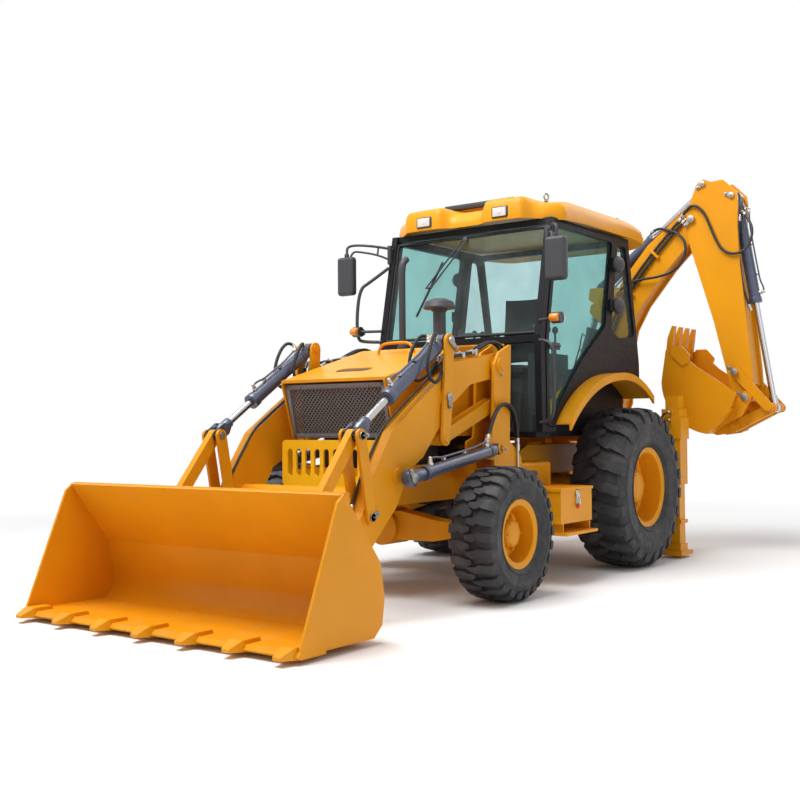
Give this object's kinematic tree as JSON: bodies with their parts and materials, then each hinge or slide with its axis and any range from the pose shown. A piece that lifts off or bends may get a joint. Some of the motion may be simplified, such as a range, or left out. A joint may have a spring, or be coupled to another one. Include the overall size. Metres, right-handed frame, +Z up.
{
  "type": "backhoe loader",
  "caption": "Backhoe loader: front bucket on self-levelling lift arms, cab on rubber tyres, and a side-shift digging arm swung to the left with stabilizer legs.",
  "frame": {"origin": "on the ground under the middle of the whole machine, backhoe swung to the left", "axes": "+X to the loader bucket, +Y to the machine's left, +Z up"},
  "size_m": [6.214, 2.8264, 3.4169],
  "materials": {
    "yellow_paint": "semi-gloss construction yellow, slightly dusty",
    "bucket_paint": "semi-gloss construction yellow, rubbed pale on the working faces",
    "guard_paint": "brighter yellow, semi-gloss",
    "charcoal_paint": "satin charcoal",
    "ram_paint": "satin slate grey",
    "chrome_rod": "hard chrome",
    "pin_steel": "machined steel",
    "grille_mesh": "dark perforated steel",
    "engine_grey": "painted castings",
    "black_plastic": "moulded, fine grain",
    "seat_fabric": "woven cloth",
    "tinted_glass": "green-blue tint",
    "tyre_rubber": "dry rubber, slightly dusty"
  },
  "bodies": {
    "chassis": {"chassis_frame": "yellow_paint", "powertrain": "engine_grey", "axles": "yellow_paint", "front_guard": "guard_paint", "grille": "grille_mesh", "side_tanks": "yellow_paint", "rear_fenders": "yellow_paint", "tow_eye": "yellow_paint", "cab_frame": "charcoal_paint", "cab_roof": "yellow_paint", "cab_windows": "tinted_glass", "operator_seat": "seat_fabric", "cab_controls": "black_plastic", "mirrors": "black_plastic", "backhoe_frame": "yellow_paint"},
    "hood": {"hood": "yellow_paint", "air_cleaner": "black_plastic"},
    "left_front_wheel": {"left_front_tyre": "tyre_rubber", "left_front_rim": "yellow_paint"},
    "left_rear_wheel": {"left_rear_tyre": "tyre_rubber", "left_rear_rim": "yellow_paint"},
    "left_knuckle": {"left_knuckle": "yellow_paint"},
    "left_door": {"left_door": "charcoal_paint", "left_door_glass": "tinted_glass"},
    "left_stabilizer": {"left_stabilizer": "yellow_paint"},
    "right_front_wheel": {"right_front_tyre": "tyre_rubber", "right_front_rim": "yellow_paint"},
    "right_rear_wheel": {"right_rear_tyre": "tyre_rubber", "right_rear_rim": "yellow_paint"},
    "right_knuckle": {"right_knuckle": "yellow_paint"},
    "right_door": {"right_door": "charcoal_paint", "right_door_glass": "tinted_glass"},
    "right_stabilizer": {"right_stabilizer": "yellow_paint"},
    "loader_arms": {"loader_arms": "yellow_paint"},
    "lift_barrels": {"lift_barrels": "ram_paint"},
    "lift_rods": {"lift_rods": "chrome_rod"},
    "tilt_levers": {"tilt_levers": "yellow_paint"},
    "level_links": {"level_links": "yellow_paint"},
    "lever_pins": {"lever_pins": "yellow_paint"},
    "tilt_barrels": {"tilt_barrels": "ram_paint"},
    "tilt_rods": {"tilt_rods": "chrome_rod"},
    "nose_pins": {"nose_pins": "pin_steel"},
    "rod_pins": {"rod_pins": "pin_steel"},
    "hinge_pins": {"hinge_pins": "pin_steel"},
    "tilt_links": {"tilt_links": "yellow_paint"},
    "bucket_links": {"bucket_links": "yellow_paint"},
    "loader_bucket": {"loader_bucket": "bucket_paint"},
    "slide_carriage": {"slide_carriage": "yellow_paint"},
    "swing_post": {"swing_post": "yellow_paint"},
    "boom": {"boom": "yellow_paint"},
    "dipper": {"dipper": "yellow_paint"},
    "tipping_links": {"tipping_links": "yellow_paint"},
    "bucket_link": {"bucket_link": "yellow_paint"},
    "digging_bucket": {"digging_bucket": "bucket_paint"},
    "boom_barrel": {"boom_barrel": "ram_paint"},
    "boom_rod": {"boom_rod": "chrome_rod"},
    "dipper_barrel": {"dipper_barrel": "ram_paint"},
    "dipper_rod": {"dipper_rod": "chrome_rod"},
    "bucket_barrel": {"bucket_barrel": "ram_paint"},
    "bucket_rod": {"bucket_rod": "chrome_rod"}
  },
  "joints": [
    {"name": "left_front_roll", "type": "hinge", "parent": "left_knuckle", "child": "left_front_wheel", "pos_m": [0.757, 0.66625, 0.452], "axis": [0, 1, 0], "continuous": true},
    {"name": "left_rear_roll", "type": "hinge", "parent": "chassis", "child": "left_rear_wheel", "pos_m": [-1.343, 0.60425, 0.655], "axis": [0, 1, 0], "continuous": true},
    {"name": "right_front_roll", "type": "hinge", "parent": "right_knuckle", "child": "right_front_wheel", "pos_m": [0.757, -1.21775, 0.452], "axis": [0, 1, 0], "continuous": true},
    {"name": "right_rear_roll", "type": "hinge", "parent": "chassis", "child": "right_rear_wheel", "pos_m": [-1.343, -1.15575, 0.655], "axis": [0, 1, 0], "continuous": true},
    {"name": "steering", "type": "hinge", "parent": "chassis", "child": "left_knuckle", "pos_m": [0.757, 0.44425, 0.452], "axis": [0, 0, 1], "range_deg": [-28, 28]},
    {"name": "right_steering", "type": "hinge", "parent": "chassis", "child": "right_knuckle", "pos_m": [0.757, -0.99575, 0.452], "axis": [0, 0, 1], "range_deg": [-28.01, 28.01]},
    {"name": "hood_hinge", "type": "hinge", "parent": "chassis", "child": "hood", "pos_m": [-0.043, -0.27575, 1.77], "axis": [0, -1, 0], "range_deg": [0, 40]},
    {"name": "left_door_hinge", "type": "hinge", "parent": "chassis", "child": "left_door", "pos_m": [-1.398, 0.50425, 2.3], "axis": [0, 0, 1], "range_deg": [0, 70]},
    {"name": "right_door_hinge", "type": "hinge", "parent": "chassis", "child": "right_door", "pos_m": [-1.398, -1.05575, 2.3], "axis": [0, 0, -1], "range_deg": [0, 70]},
    {"name": "loader_lift", "type": "hinge", "parent": "chassis", "child": "loader_arms", "pos_m": [0.329, -0.27575, 1.601], "axis": [0, -1, 0], "range_deg": [-2.5, 75]},
    {"name": "lift_barrel_pivot", "type": "hinge", "parent": "chassis", "child": "lift_barrels", "pos_m": [0.484, -0.27575, 1.008], "axis": [0, -1, 0], "range_deg": [-2.4, 71.61]},
    {"name": "lift_ram", "type": "slide", "parent": "lift_barrels", "child": "lift_rods", "axis": [0.9886, 0, -0.1506], "range_m": [-0.026, 0.7495]},
    {"name": "lever_pivot", "type": "hinge", "parent": "loader_arms", "child": "tilt_levers", "pos_m": [0.989, -0.27575, 1.365], "axis": [0, -1, 0], "range_deg": [-75.01, 2.51]},
    {"name": "level_link_pivot", "type": "hinge", "parent": "chassis", "child": "level_links", "pos_m": [0.357, -0.27575, 1.323], "axis": [0, -1, 0], "range_deg": [-2.51, 75.01]},
    {"name": "lever_pin_turn", "type": "hinge", "parent": "tilt_levers", "child": "lever_pins", "pos_m": [0.962, -0.27575, 1.747], "axis": [0, -1, 0], "range_deg": [-2.42, 72.19]},
    {"name": "tilt_barrel_pivot", "type": "hinge", "parent": "lever_pins", "child": "tilt_barrels", "pos_m": [0.962, -0.27575, 1.747], "axis": [0, -1, 0], "range_deg": [-2.03, 3.47]},
    {"name": "bucket_tilt", "type": "hinge", "parent": "hinge_pins", "child": "loader_bucket", "pos_m": [2.137, -0.27575, 0.244], "axis": [0, 1, 0], "range_deg": [-28, 48]},
    {"name": "tilt_ram", "type": "slide", "parent": "tilt_barrels", "child": "tilt_rods", "axis": [0.8383, 0, -0.5452], "range_m": [-0.218, 0.3729]},
    {"name": "nose_pin_turn", "type": "hinge", "parent": "loader_arms", "child": "nose_pins", "pos_m": [1.827, -0.27575, 0.624], "axis": [0, -1, 0], "range_deg": [-55.04, 1.84]},
    {"name": "hinge_pin_turn", "type": "hinge", "parent": "loader_arms", "child": "hinge_pins", "pos_m": [2.137, -0.27575, 0.244], "axis": [0, -1, 0], "range_deg": [-55.04, 1.84]},
    {"name": "tilt_link_pivot", "type": "hinge", "parent": "nose_pins", "child": "tilt_links", "pos_m": [1.827, -0.27575, 0.624], "axis": [0, 1, 0], "range_deg": [-28.01, 48.01]},
    {"name": "rod_pin_turn", "type": "hinge", "parent": "tilt_links", "child": "rod_pins", "pos_m": [1.923, -0.27575, 1.122], "axis": [0, -1, 0], "range_deg": [-1.84, 55.04]},
    {"name": "bucket_link_pivot", "type": "hinge", "parent": "rod_pins", "child": "bucket_links", "pos_m": [1.923, -0.27575, 1.122], "axis": [0, 1, 0], "range_deg": [-48.01, 28.01]},
    {"name": "left_stabilizer_slide", "type": "slide", "parent": "chassis", "child": "left_stabilizer", "axis": [0, 0, 1], "range_m": [-0.15, 0.3]},
    {"name": "right_stabilizer_slide", "type": "slide", "parent": "chassis", "child": "right_stabilizer", "axis": [0, 0, 1], "range_m": [-0.15, 0.3]},
    {"name": "side_shift", "type": "slide", "parent": "chassis", "child": "slide_carriage", "axis": [0, 1, 0], "range_m": [-0.15, 0.99]},
    {"name": "swing", "type": "hinge", "parent": "slide_carriage", "child": "swing_post", "pos_m": [-2.793, -0.69575, 0.9], "axis": [0, 0, 1], "range_deg": [0, 180]},
    {"name": "boom_lower", "type": "hinge", "parent": "swing_post", "child": "boom", "pos_m": [-2.793, -0.35575, 0.97], "axis": [-1, 0, 0], "range_deg": [0, 105]},
    {"name": "dipper_out", "type": "hinge", "parent": "boom", "child": "dipper", "pos_m": [-2.793, 0.67525, 3.06], "axis": [1, 0, 0], "range_deg": [0, 110]},
    {"name": "bucket_open", "type": "hinge", "parent": "dipper", "child": "digging_bucket", "pos_m": [-2.793, 1.16825, 1.401], "axis": [1, 0, 0], "range_deg": [0, 150]},
    {"name": "boom_barrel_pivot", "type": "hinge", "parent": "swing_post", "child": "boom_barrel", "pos_m": [-2.793, -0.70575, 1.24], "axis": [1, 0, 0], "range_deg": [-95.11, 0.01]},
    {"name": "boom_ram", "type": "slide", "parent": "boom_barrel", "child": "boom_rod", "axis": [0, 0.3135, 0.9496], "range_m": [-0.001, 0.681]},
    {"name": "dipper_barrel_pivot", "type": "hinge", "parent": "boom", "child": "dipper_barrel", "pos_m": [-2.793, -0.37575, 2.456], "axis": [1, 0, 0], "range_deg": [-0.01, 6.8]},
    {"name": "dipper_ram", "type": "slide", "parent": "dipper_barrel", "child": "dipper_rod", "axis": [0, 0.7841, 0.6207], "range_m": [-0.5384, 0.001]},
    {"name": "bucket_barrel_pivot", "type": "hinge", "parent": "dipper", "child": "bucket_barrel", "pos_m": [-2.793, 1.05425, 3.235], "axis": [1, 0, 0], "range_deg": [-0.01, 8.48]},
    {"name": "bucket_ram", "type": "slide", "parent": "bucket_barrel", "child": "bucket_rod", "axis": [0, 0.1611, -0.9869], "range_m": [-0.5878, 0.001]},
    {"name": "tipping_link_pivot", "type": "hinge", "parent": "dipper", "child": "tipping_links", "pos_m": [-2.793, 1.07725, 1.631], "axis": [1, 0, 0], "range_deg": [-0.01, 91.51]},
    {"name": "bucket_link_pin", "type": "hinge", "parent": "tipping_links", "child": "bucket_link", "pos_m": [-2.793, 1.36925, 1.305], "axis": [1, 0, 0], "range_deg": [-13.51, 0.01]}
  ],
  "couplings": [
    {"joint": "right_steering", "follows": "steering", "ratio": 1},
    {"joint": "lift_barrel_pivot", "follows": "loader_lift", "ratio": 0.95464},
    {"joint": "lift_ram", "follows": "loader_lift", "m_per_rad": 0.57183},
    {"joint": "lever_pivot", "follows": "loader_lift", "ratio": -1},
    {"joint": "level_link_pivot", "follows": "loader_lift", "ratio": 1},
    {"joint": "lever_pin_turn", "follows": "loader_lift", "ratio": 0.96235},
    {"joint": "tilt_barrel_pivot", "follows": "bucket_tilt", "ratio": 0.072065},
    {"joint": "tilt_ram", "follows": "bucket_tilt", "m_per_rad": 0.44398},
    {"joint": "nose_pin_turn", "follows": "loader_lift", "ratio": -0.73375},
    {"joint": "hinge_pin_turn", "follows": "loader_lift", "ratio": -0.73375},
    {"joint": "tilt_link_pivot", "follows": "bucket_tilt", "ratio": 1},
    {"joint": "rod_pin_turn", "follows": "loader_lift", "ratio": 0.73375},
    {"joint": "bucket_link_pivot", "follows": "bucket_tilt", "ratio": -1},
    {"joint": "boom_barrel_pivot", "follows": "boom_lower", "ratio": -0.90573},
    {"joint": "boom_ram", "follows": "boom_lower", "m_per_rad": 0.37104},
    {"joint": "dipper_barrel_pivot", "follows": "dipper_out", "ratio": 0.06175},
    {"joint": "dipper_ram", "follows": "dipper_out", "m_per_rad": -0.27992},
    {"joint": "bucket_barrel_pivot", "follows": "bucket_open", "ratio": 0.056477},
    {"joint": "bucket_ram", "follows": "bucket_open", "m_per_rad": -0.22415},
    {"joint": "tipping_link_pivot", "follows": "bucket_open", "ratio": 0.61},
    {"joint": "bucket_link_pin", "follows": "bucket_open", "ratio": -0.09}
  ]
}
